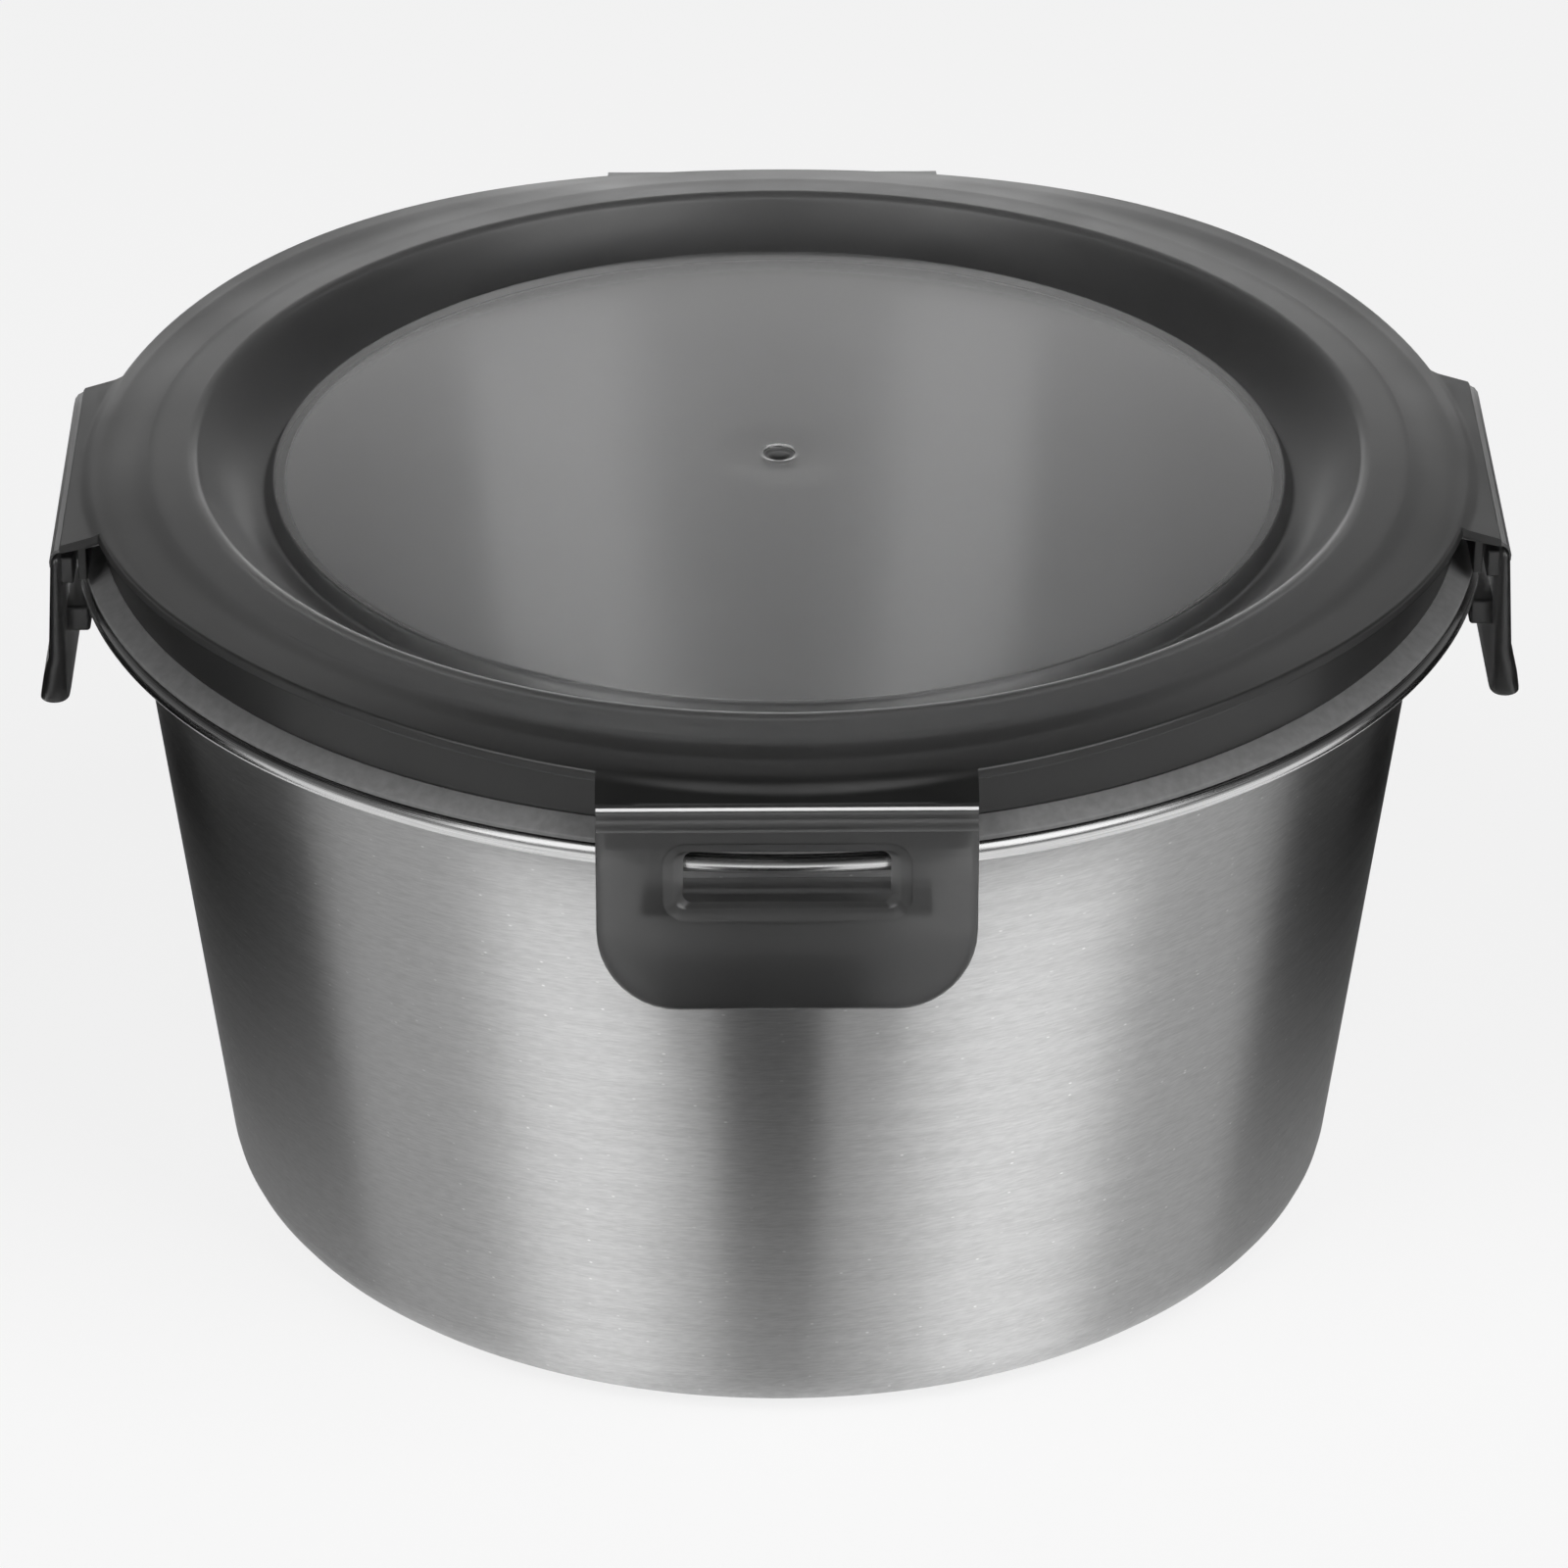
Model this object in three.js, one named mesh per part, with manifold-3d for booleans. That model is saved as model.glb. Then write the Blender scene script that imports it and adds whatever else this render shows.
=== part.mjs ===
// Round stainless food container: a drawn steel bowl, a smoky plastic lid with a silicone gasket,
// and four latches on living hinges that hook under the bowl's rolled rim.
// Millimetres, +Z up. The origin is the centre of the base, on the surface that the bowl stands on.
// The front latch faces -Y.

import * as THREE from 'three';
import { mergeVertices } from 'three/addons/utils/BufferGeometryUtils.js';
import Module from 'manifold-3d';

const wasm = await Module();
wasm.setup();

// Bowl
const bowlHeight = 92.9; // base to the top of the rolled bead
const mouthRadius = 85.4; // outside of the wall, level with the underside of the rim
const wallDraft = THREE.MathUtils.degToRad(7.2);
const cornerRadius = 7.3; // outside of the bend between base and wall
const sheet = 0.8;
const rimWidth = 6.8; // wall to the outermost point of the bead
const rimBend = 1.0; // underside of the bend between wall and ledge
const beadRadius = 1.4;
const ledgeDrop = 0.7; // the gasket's ledge below the top of the bead

// Gasket
const gasketFoot = 2.9; // ledge to the lower edge of the skirt
const gasketInset = 2.8; // foot of the gasket inside the outermost point of the bead
const lipInset = 0.7; // edge of the sloping lip inside the outermost point of the bead
const lipEdge = 0.6;
const lipClearance = 0.1;
const gasketHeadroom = 0.9; // tongue of the gasket to the roof of the lid's groove
const gasketClearance = 0.3;

// Lid, with heights above the lower edge of its skirt
const lidWall = 1.6;
const flangeInset = 1.6; // flange edge inside the outermost point of the bead
const flangeHeight = 7.8;
const flangeEdge = 1.4;
const flangeWave = 0.9; // the flange rises between the latches and dips at them by this much
const skirtInset = 1.8; // skirt inside the flange edge
const plugClearance = 1.0; // plug wall to the inside of the bowl's mouth
const plugDepth = 7.0; // below the lower edge of the skirt
const slopeWidth = 8.2; // flange edge to the outer edge of the raised ring
const ringWidth = 5.9;
const ringHeight = 9.0;
const ringRise = 0.64; // inner edge of the raised ring above its outer edge
const troughWidth = 9.0;
const troughHeight = 3.1;
const troughCurve = 1.6; // power of the trough's rise, over 1 for a hollow curve
const panelWallLean = 1.2;
const panelHeight = 5.3;
const panelDome = 1.7;
const gateRadius = 2.4;
const gateDepth = 0.5;

// Ears that carry the latches, and the straight wall under each ear
const latchWidth = 46.4;
const sideInset = 1.2; // ribs inside the sides of the ear and of the flap
const earReach = 0.1; // end of the ear outside the inner face of the flap
const earDrop = 2.3; // end of the ear below the mean flange height
const earWallInset = 2.2; // outer face of the wall under the ear, inside the end of the ear
const earWallThickness = 1.2;

// Latches
const flapClearance = 0.4; // inner face of the flap to the bead
const flapThickness = 2.4;
const flapHeight = 25;
const flapCorner = 10;
const flapTopRound = 1.1;
const tipFlare = 1.9; // the tip stands out past the outer face of the flap
const tipLength = 6;
const windowWidth = 25.2;
const windowHeight = 7.7;
const windowDrop = 3.9; // upper edge of the window below the top of the flap
const windowCorner = 1.2;
const bevelCorner = 2.4;
const bevelSide = 2.5; // bevel from the outer face in to the window, at its sides
const bevelEdge = 1.4; // the same above and below the window
const bevelDepth = 1.3;
const shoulderDepth = 1.5; // rib across the inside of the flap, near its top
const shoulderHeight = 4.2;

// Catches
const catchWidth = 35.5;
const catchHeight = 3.6;
const catchReach = 2.6; // inside the outermost point of the bead
const catchDrop = 1.1; // below the bead
const catchLead = 1.2; // sloped edge that guides the catch under the bead

// Living hinges
const webThickness = 0.7;
const webReach = 0.9;
const webDrop = 1.5;
const seam = 0.3; // gap between the pieces that the lid's moulding joins

// Facets
const facets = 64;
const bendSteps = 4;
const beadSteps = 10;
const earSteps = 8;
const cornerSteps = 6;
const cutMargin = 1; // how far a cutting shape stands past what it cuts

const sides = ['front', 'right', 'back', 'left'];

// Heights and radii that follow from the sizes above
const rimRadius = mouthRadius + rimWidth;
const ledgeHeight = bowlHeight - ledgeDrop;
const beadHeight = bowlHeight - beadRadius;
const beadCentre = rimRadius - beadRadius;
const skirtHeight = ledgeHeight + gasketFoot;
const flangeRadius = rimRadius - flangeInset;
const skirtRadius = flangeRadius - skirtInset;
const ringRadius = flangeRadius - slopeWidth;
const creaseRadius = ringRadius - ringWidth;
const troughRadius = creaseRadius - troughWidth;
const panelRadius = troughRadius - panelWallLean;
const plugRadius = mouthRadius - sheet - plugClearance;
const flapInside = rimRadius + flapClearance;
const flapOutside = flapInside + flapThickness;
const earEnd = flapInside + earReach;
const earEndHeight = flangeHeight - earDrop;
const ribWidth = latchWidth - 2 * sideInset;
const webTop = skirtHeight + earEndHeight;
const flapTop = webTop - webDrop - seam;
const catchTop = beadHeight - beadRadius - catchDrop;

const steel = { color: 0xb9b9b7, roughness: 0.3, metalness: 1 };
const smokyPlastic = { color: 0x3a3a3b, roughness: 0.2, metalness: 0 };
const silicone = { color: 0x6e6e6e, roughness: 0.6, metalness: 0 };

function vec(x, y) {
  return new THREE.Vector2(x, y);
}

// Points along an arc, from one angle to another in radians
function arc(centre, radius, from, to, steps) {
  const points = [];
  for (let i = 0; i <= steps; i += 1) {
    const angle = from + ((to - from) * i) / steps;
    points.push(vec(centre.x + radius * Math.cos(angle), centre.y + radius * Math.sin(angle)));
  }
  return points;
}

// Turns a profile of radius and height about the Z axis
function revolve(profile) {
  const geometry = new THREE.LatheGeometry(profile, facets);
  geometry.rotateX(Math.PI / 2);
  return geometry;
}

// Closed manifold solid from a geometry, without the triangles that collapse on the axis
function solidOf(geometry) {
  const bare = geometry.clone();
  bare.deleteAttribute('normal');
  bare.deleteAttribute('uv');
  const merged = mergeVertices(bare);
  const index = merged.index.array;
  const triangles = [];
  for (let i = 0; i < index.length; i += 3) {
    const [a, b, c] = [index[i], index[i + 1], index[i + 2]];
    if (a !== b && b !== c && c !== a) {
      triangles.push(a, b, c);
    }
  }
  return new wasm.Manifold(new wasm.Mesh({
    numProp: 3,
    vertProperties: new Float32Array(merged.attributes.position.array),
    triVerts: new Uint32Array(triangles),
  }));
}

function geometryOf(solid) {
  const mesh = solid.getMesh();
  const geometry = new THREE.BufferGeometry();
  geometry.setAttribute('position', new THREE.BufferAttribute(mesh.vertProperties, 3));
  geometry.setIndex(new THREE.BufferAttribute(mesh.triVerts, 1));
  geometry.computeVertexNormals();
  return geometry;
}

function piece(name, geometry, finish) {
  const mesh = new THREE.Mesh(geometry, new THREE.MeshStandardMaterial(finish));
  mesh.name = name;
  return mesh;
}

// Side profile of a latch piece, drawn as distance from the axis and height, and its width across the latch
function acrossLatch(points, width) {
  const geometry = new THREE.ExtrudeGeometry(new THREE.Shape(points), { depth: width, bevelEnabled: false });
  const outward = new THREE.Vector3(0, -1, 0);
  const up = new THREE.Vector3(0, 0, 1);
  const across = new THREE.Vector3(-1, 0, 0);
  geometry.applyMatrix4(new THREE.Matrix4().makeBasis(outward, up, across));
  geometry.translate(width / 2, 0, 0);
  return geometry;
}

// Front outline of a latch piece, drawn as width and height, given its depth away from the axis
function throughLatch(points, from, to) {
  const depth = to - from;
  const geometry = new THREE.ExtrudeGeometry(new THREE.Shape(points), { depth, bevelEnabled: false });
  const across = new THREE.Vector3(1, 0, 0);
  const up = new THREE.Vector3(0, 0, 1);
  const outward = new THREE.Vector3(0, -1, 0);
  geometry.applyMatrix4(new THREE.Matrix4().makeBasis(across, up, outward));
  geometry.translate(0, -from, 0);
  return geometry;
}

// Upright rectangle, centred across the latch, with round corners below and above
function plate(width, low, high, lowRound, highRound) {
  const half = width / 2;
  const quarter = Math.PI / 2;
  return [
    ...arc(vec(-half + lowRound, low + lowRound), lowRound, 2 * quarter, 3 * quarter, cornerSteps),
    ...arc(vec(half - lowRound, low + lowRound), lowRound, 3 * quarter, 4 * quarter, cornerSteps),
    ...arc(vec(half - highRound, high - highRound), highRound, 0, quarter, cornerSteps),
    ...arc(vec(-half + highRound, high - highRound), highRound, quarter, 2 * quarter, cornerSteps),
  ];
}

function wallRadius(height) {
  return mouthRadius + (height - (ledgeHeight - sheet)) * Math.tan(wallDraft);
}

// Bowl: outside from the base up to the bead, then inside from the ledge back down
function makeBowl() {
  const quarter = Math.PI / 2;
  const corner = vec(wallRadius(cornerRadius) - cornerRadius / Math.cos(wallDraft), cornerRadius);
  const bendHeight = ledgeHeight - sheet - rimBend;
  const bend = vec(wallRadius(bendHeight) + rimBend / Math.cos(wallDraft), bendHeight);
  const bead = vec(beadCentre, beadHeight);
  const underBead = Math.PI + Math.asin((beadHeight - ledgeHeight + sheet) / beadRadius);
  const overBead = 3 * Math.PI - Math.asin((ledgeHeight - beadHeight) / beadRadius);
  return revolve([
    vec(0, 0),
    ...arc(corner, cornerRadius, -quarter, -wallDraft, bendSteps),
    ...arc(bend, rimBend, 2 * quarter - wallDraft, quarter, bendSteps),
    ...arc(bead, beadRadius, underBead, overBead, beadSteps),
    ...arc(bend, rimBend + sheet, quarter, 2 * quarter - wallDraft, bendSteps),
    ...arc(corner, cornerRadius - sheet, -wallDraft, -quarter, bendSteps),
    vec(0, sheet),
  ]);
}

// Gasket: a foot on the ledge, a lip that slopes from the skirt down over the bead, and a tongue that
// the lid's groove holds
function makeGasket() {
  const footOutside = rimRadius - gasketInset;
  const lipRadius = rimRadius - lipInset;
  const lipLow = ledgeDrop + lipClearance - gasketFoot;
  const tongueOutside = skirtRadius - lidWall - gasketClearance;
  const tongueInside = plugRadius + gasketClearance;
  const tongueTop = flangeHeight - flangeEdge - flangeWave - gasketHeadroom;
  const footInside = wallRadius(ledgeHeight) + rimBend;
  return revolve([
    vec(footInside, -gasketFoot),
    vec(footOutside, -gasketFoot),
    vec(footOutside, lipLow),
    vec(lipRadius, lipLow),
    vec(lipRadius, lipLow + lipEdge),
    vec(skirtRadius, 0),
    vec(tongueOutside, 0),
    vec(tongueOutside, tongueTop),
    vec(tongueInside, tongueTop),
    vec(tongueInside, 0),
    vec(footInside, -gasketFoot),
  ]);
}

// Concave rise of the trough, from the foot of the panel to the crease of the raised ring
function trough(lower) {
  const points = [];
  const rise = ringHeight + ringRise - troughHeight;
  for (let i = 0; i <= bendSteps; i += 1) {
    const along = i / bendSteps;
    points.push(vec(troughRadius + troughWidth * along, troughHeight + rise * along ** troughCurve - lower));
  }
  return points;
}

// Height that the flange gains at a point of the lid, from its dip at the latches to its rise between them.
// It fades out towards the raised ring and down the skirt, so that the skirt's lower edge stays level.
function wave(x, y, z) {
  const outward = THREE.MathUtils.clamp((Math.hypot(x, y) - ringRadius) / slopeWidth, 0, 1);
  const upward = THREE.MathUtils.clamp(z / (flangeHeight - flangeEdge), 0, 1);
  return -flangeWave * outward * upward * Math.cos(sides.length * Math.atan2(y, x));
}

// Shallow dome of the panel, from its edge in to the gate mark
function dome() {
  const points = [];
  for (let i = 0; i <= bendSteps; i += 1) {
    const radius = panelRadius + ((gateRadius - panelRadius) * i) / bendSteps;
    points.push(vec(radius, panelHeight + panelDome * (1 - (radius / panelRadius) ** 2)));
  }
  return points;
}

// Lid body: the underside from the axis out to the flange edge, then the top surface back to the gate mark
function makeLidBody() {
  const skirtInside = skirtRadius - lidWall;
  const plugInside = plugRadius - lidWall;
  const flangeUnder = flangeHeight - flangeEdge;
  const gateFloor = panelHeight + panelDome - gateDepth;
  const geometry = revolve([
    vec(0, gateFloor - lidWall),
    vec(panelRadius - lidWall, panelHeight - lidWall),
    vec(troughRadius - lidWall, troughHeight - lidWall),
    ...trough(lidWall).slice(1, -1),
    vec(creaseRadius + lidWall / 2, ringHeight + ringRise - lidWall),
    vec(plugInside, ringHeight - lidWall),
    vec(plugInside, -plugDepth),
    vec(plugRadius, -plugDepth),
    vec(plugRadius, flangeUnder + ringHeight - flangeHeight),
    vec(skirtInside, flangeUnder),
    vec(skirtInside, 0),
    vec(skirtRadius, 0),
    vec(skirtRadius, flangeUnder),
    vec(flangeRadius, flangeUnder),
    vec(flangeRadius, flangeHeight),
    vec(ringRadius, ringHeight),
    ...trough(0).reverse(),
    ...dome(),
    vec(gateRadius, gateFloor),
    vec(0, gateFloor),
  ]);
  const position = geometry.attributes.position;
  for (let i = 0; i < position.count; i += 1) {
    const z = position.getZ(i);
    position.setZ(i, z + wave(position.getX(i), position.getY(i), z));
  }
  return solidOf(geometry);
}

// Ear: a thick sheet from inside the flange to the straight end that the living hinge starts from
function makeEar() {
  const root = skirtRadius;
  const geometry = new THREE.BoxGeometry(latchWidth, 1, flangeEdge, earSteps, 1, 1);
  const position = geometry.attributes.position;
  for (let i = 0; i < position.count; i += 1) {
    const x = position.getX(i);
    const isEnd = position.getY(i) < 0;
    const rootY = -Math.sqrt(root * root - x * x);
    const y = isEnd ? -earEnd : rootY;
    const level = ringHeight + (flangeHeight - ringHeight) * ((root - ringRadius) / slopeWidth);
    const top = isEnd ? earEndHeight : level + wave(x, rootY, level);
    position.setY(i, y);
    position.setZ(i, top - flangeEdge / 2 + position.getZ(i));
  }
  return solidOf(geometry);
}

// Straight wall that stands under the ear, between the skirt and the flap
function makeEarWall() {
  const outside = earEnd - earWallInset;
  const inside = outside - earWallThickness;
  const slope = (flangeHeight - flangeWave - earEndHeight) / (earEnd - flangeRadius);
  const top = earEndHeight - flangeEdge / 2 + slope * earWallInset;
  const section = [vec(inside, 0), vec(outside, 0), vec(outside, top), vec(inside, top)];
  return solidOf(acrossLatch(section, ribWidth));
}

function makeLid() {
  let lid = makeLidBody();
  sides.forEach((side, turn) => {
    const degrees = (360 * turn) / sides.length;
    lid = lid.add(makeEar().rotate([0, 0, degrees]));
    lid = lid.add(makeEarWall().rotate([0, 0, degrees]));
  });
  return geometryOf(lid);
}

// Flap: its side profile cut to the front outline, with the shoulder rib and the window in its bevel
function makeFlap() {
  const low = flapTop - flapHeight;
  const tip = flapThickness / 2;
  const quarter = Math.PI / 2;
  const side = acrossLatch([
    ...arc(vec(flapInside + tip, low + tip), tip, 2 * quarter, 3 * quarter, bendSteps),
    ...arc(vec(flapOutside + tipFlare - tip, low + tip), tip, 3 * quarter, 4 * quarter, bendSteps),
    vec(flapOutside, low + tipLength),
    ...arc(vec(flapOutside - flapTopRound, flapTop - flapTopRound), flapTopRound, 0, quarter, bendSteps),
    vec(flapInside, flapTop),
  ], latchWidth);
  const front = throughLatch(
    plate(latchWidth, low, flapTop + cutMargin, flapCorner, cutMargin / 2),
    flapInside - cutMargin,
    flapOutside + tipFlare + cutMargin,
  );
  const windowTop = flapTop - windowDrop;
  const windowLow = windowTop - windowHeight;
  const outline = plate(windowWidth, windowLow, windowTop, windowCorner, windowCorner);
  const window = throughLatch(outline, flapInside - shoulderDepth - cutMargin, flapOutside + cutMargin);
  const throat = throughLatch(outline, flapOutside - bevelDepth, flapOutside);
  const bevelWidth = windowWidth + 2 * bevelSide;
  const mouth = throughLatch(
    plate(bevelWidth, windowLow - bevelEdge, windowTop + bevelEdge, bevelCorner, bevelCorner),
    flapOutside,
    flapOutside + cutMargin,
  );
  const bevel = wasm.Manifold.hull([solidOf(throat), solidOf(mouth)]);
  const shoulder = acrossLatch([
    vec(flapInside - shoulderDepth, flapTop - shoulderHeight),
    vec(flapInside + tip, flapTop - shoulderHeight),
    vec(flapInside + tip, flapTop),
    vec(flapInside - shoulderDepth, flapTop),
  ], ribWidth);
  const body = solidOf(side).intersect(solidOf(front)).add(solidOf(shoulder));
  return geometryOf(body.subtract(solidOf(window).add(bevel)));
}

function makeCatch() {
  const inside = rimRadius - catchReach;
  const outside = flapInside - seam;
  const low = catchTop - catchHeight;
  return acrossLatch([
    vec(inside, low + catchLead),
    vec(inside + catchLead, low),
    vec(outside, low),
    vec(outside, catchTop),
    vec(inside, catchTop),
  ], catchWidth);
}

// Web of the living hinge, from the end of the ear over to the top of the flap
function makeWeb() {
  const start = earEnd + seam;
  const end = start + webReach;
  const low = webTop - webDrop;
  return acrossLatch([
    vec(start, webTop - webThickness),
    vec(end - webThickness, low),
    vec(end, low),
    vec(end, low + webThickness / 2),
    vec(start + webThickness, webTop),
    vec(start, webTop),
  ], latchWidth);
}

const container = new THREE.Group();
container.add(piece('bowl', makeBowl(), steel));

const lidGroup = new THREE.Group();
lidGroup.position.z = skirtHeight;
lidGroup.add(piece('lid', makeLid(), smokyPlastic));
lidGroup.add(piece('gasket', makeGasket(), silicone));
container.add(lidGroup);

sides.forEach((side, turn) => {
  const latchGroup = new THREE.Group();
  latchGroup.rotation.z = (2 * Math.PI * turn) / sides.length;
  latchGroup.add(piece(`hinge_${side}`, makeWeb(), smokyPlastic));
  latchGroup.add(piece(`latch_${side}`, makeFlap(), smokyPlastic));
  latchGroup.add(piece(`catch_${side}`, makeCatch(), smokyPlastic));
  container.add(latchGroup);
});

export default container;
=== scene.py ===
"""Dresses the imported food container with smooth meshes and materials, and sets its light and camera.

Sizes of the container are millimetres until a mesh is built. The studio round it is in metres.
"""

import math

import bmesh
import bpy
from mathutils import Matrix, Vector


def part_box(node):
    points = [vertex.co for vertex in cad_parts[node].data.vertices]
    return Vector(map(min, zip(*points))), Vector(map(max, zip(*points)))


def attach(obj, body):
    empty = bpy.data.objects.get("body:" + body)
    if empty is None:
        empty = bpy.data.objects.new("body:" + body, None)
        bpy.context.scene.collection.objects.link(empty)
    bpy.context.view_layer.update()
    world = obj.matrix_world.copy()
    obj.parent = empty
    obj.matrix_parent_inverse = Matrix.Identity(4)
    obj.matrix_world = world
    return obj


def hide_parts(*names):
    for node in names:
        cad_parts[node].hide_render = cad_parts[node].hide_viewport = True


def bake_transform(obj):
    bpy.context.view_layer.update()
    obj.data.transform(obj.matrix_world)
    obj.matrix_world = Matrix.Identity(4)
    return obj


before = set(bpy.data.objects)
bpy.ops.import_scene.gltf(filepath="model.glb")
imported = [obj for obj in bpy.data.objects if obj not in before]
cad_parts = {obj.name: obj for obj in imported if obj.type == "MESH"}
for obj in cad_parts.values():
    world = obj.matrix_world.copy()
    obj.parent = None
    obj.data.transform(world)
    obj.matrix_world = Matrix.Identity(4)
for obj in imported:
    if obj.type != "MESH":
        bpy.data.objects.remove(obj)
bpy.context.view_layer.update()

MM = 0.001
QUARTER = math.pi / 2
SIDES = ("front", "right", "back", "left")

# Sizes taken from the frame
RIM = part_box("bowl")[1].x / MM
BOWL_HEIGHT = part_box("bowl")[1].z / MM
PLUG_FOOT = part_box("lid")[0].z / MM
EAR_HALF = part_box("hinge_front")[1].x / MM
WEB_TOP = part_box("hinge_front")[1].z / MM
FLAP_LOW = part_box("latch_front")[0].z / MM
FLAP_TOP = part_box("latch_front")[1].z / MM
FLAP_TIP = -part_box("latch_front")[0].y / MM
CATCH_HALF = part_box("catch_front")[1].x / MM
CATCH_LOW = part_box("catch_front")[0].z / MM
CATCH_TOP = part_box("catch_front")[1].z / MM
CATCH_INSIDE = -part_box("catch_front")[1].y / MM

# Bowl
SHEET = 0.8
WALL_DRAFT = math.radians(7.2)
CORNER_RADIUS = 7.3
RIM_WIDTH = 6.8
RIM_BEND = 1.0
BEAD_RADIUS = 1.4
BEAD_MIDDLE = BOWL_HEIGHT - BEAD_RADIUS
LEDGE = BOWL_HEIGHT - 0.7
MOUTH = RIM - RIM_WIDTH

# Gasket
GASKET_FOOT = 2.9
FOOT_OUTSIDE = RIM - 2.8
LIP = RIM - 0.7
LIP_LOW = BOWL_HEIGHT + 0.1
LIP_EDGE = 0.6
GASKET_ROUND = 0.3
TONGUE_PLAY = 0.3
TONGUE_HEADROOM = 0.9

# Lid, with radii from the axis and heights above the lower edge of its skirt
WALL = 1.6
SKIRT_FOOT = LEDGE + GASKET_FOOT
FLANGE = RIM - 1.6
FLANGE_HEIGHT = 7.8
FLANGE_EDGE = 1.4
FLANGE_WAVE = 0.9
FLANGE_LEAN = 0.3
FLANGE_OVERHANG = 0.2
SKIRT = FLANGE - 1.8
SKIRT_TOP = 2.0
PLUG = MOUTH - SHEET - 1.0
GROOVE_ROOF = FLANGE_HEIGHT - FLANGE_EDGE - FLANGE_WAVE
RING = FLANGE - 8.2
RING_HEIGHT = 9.0
CREASE = RING - 5.9
CREASE_HEIGHT = RING_HEIGHT + 0.64
TROUGH = CREASE - 9.0
TROUGH_HEIGHT = 3.1
TROUGH_CURVE = 1.6
PANEL = TROUGH - 1.2
PANEL_HEIGHT = 5.3
PANEL_DOME = 1.7

# Roundings of the lid
PANEL_ROUND = 0.35
TROUGH_ROUND = 0.5
CREASE_ROUND = 1.6
RING_ROUND = 2.0
GROOVE_ROUND = 0.3
UNDER_ROUND = 0.5
RING_UNDER_ROUND = 0.6
EDGE_TOP_ROUND = 0.4
EDGE_LOW_ROUND = 0.25

# Gate mark in the middle of the lid: a pit in a shallow dish, with a low stub on its floor
GATE = 2.6
GATE_PIT = 2.1
GATE_DISH = 0.11
GATE_DEPTH = 0.4
GATE_STUB = 0.25
GATE_STUB_SIDE = 0.2
GATE_STUB_EDGE = GATE_PIT * 0.4
GATE_STUB_FOOT = GATE_PIT * 0.7
GATE_STUB_ROUND = 0.4
GATE_DRAFT = 0.1
GATE_ROUND = 0.15

# Slope and edge of the flange, with distances out from the raised ring
FLANGE_RUN = FLANGE - RING
SLOPE_FROM = 3.0
SLOPE_DROP = 0.55
EDGE_FROM = 7.4
EDGE_TOP_REACH = 0.5
EDGE_LOW_REACH = 0.3
EDGE_UNDER_REACH = 0.5
UNDER_FROM = 0.6
UNDER_GAP_SHARE = 0.1
POINT_GAP = 0.05

# Ears and the walls under them, with distances from the axis along the latch
EAR_ANGLE = math.asin(EAR_HALF / FLANGE)
EAR_END = RIM + 0.5
EAR_END_HEIGHT = WEB_TOP - SKIRT_FOOT
EAR_SLOPE = 0.3
EAR_ROOT = 1.6
EAR_BLEND = 1.8
EAR_TOP_REACH = 1.2
EAR_TOP_MARGIN = 0.6
EAR_NOSE = 1.1
NOSE_TOP_REACH = 0.7
NOSE_LOW_REACH = 0.35
EAR_WALL_SETBACK = 2.2
EAR_WALL_OUTSIDE = EAR_END - EAR_WALL_SETBACK
EAR_WALL_THICKNESS = 1.2
EAR_WALL_SUNK = 0.4
EAR_WALL_ROUND = 0.2
RIB_HALF = EAR_HALF - 1.2

# Latches
FLAP_INSIDE = RIM + 0.4
FLAP_OUTSIDE = FLAP_INSIDE + 2.4
FLAP_CORNER = 10.0
FLAP_TOP_CORNER = 1.2
FLAP_ROUND = 1.0
FACE_INSET = 1.1
TIP_LENGTH = 11.0
TIP_BACK = 0.35
TIP_EASE = 4
TOP_LEAN = 1.05
LEAN_LENGTH = 18.0
WINDOW_HALF = 12.6
WINDOW_TOP = FLAP_TOP - 4.2
WINDOW_LOW = WINDOW_TOP - 7.7
WINDOW_CORNER = 1.2
WINDOW_DRAFT_SIDE = 1.2
WINDOW_DRAFT_EDGE = 0.4
WINDOW_BACK_DEPTH = 0.3
WINDOW_BACK_SHARE = 0.3
BEVEL_SIDE = 1.3
BEVEL_EDGE = 1.3
BEVEL_DEPTH = 0.65
BEVEL_FOOT = 0.3
BEVEL_FOOT_ROUND = 0.15
BEVEL_ROUND = 0.5
BEVEL_MARGIN = 0.6
BLOCK_SUNK = 0.4
CATCH_ROUND = 0.5
SHOULDER_DEPTH = 1.5
SHOULDER_HEIGHT = 4.2
SHOULDER_DROP = 0.5
SHOULDER_ROUND = 0.3

# Webs of the living hinges, and the painted highlight along their upper edge, strongest on the front latch,
# with faint painted stripes below it
WEB_LAP = 1.3
WEB_THICKNESS = 0.5
WEB_THINNEST = 0.08
WEB_START_INSET = 0.15
WEB_START_DROP = 0.42
WEB_BEND_OUT = 0.1
WEB_BEND_DROP = 0.75
WEB_PROUD = 0.03
WEB_RIPPLE = 0.03
WEB_RIPPLES = 4
WEB_SIDE_PLAY = 0.1
HIGHLIGHT_FROM = 0.05
HIGHLIGHT_TO = 0.2
HIGHLIGHT_FRONT = 1.0
HIGHLIGHT_ELSEWHERE = 0.25
HIGHLIGHT_STRIPES_LEVEL = 0.1
HIGHLIGHT_STRIPES_CHANGE = 0.06
HIGHLIGHT_STRIPES = 3

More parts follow.
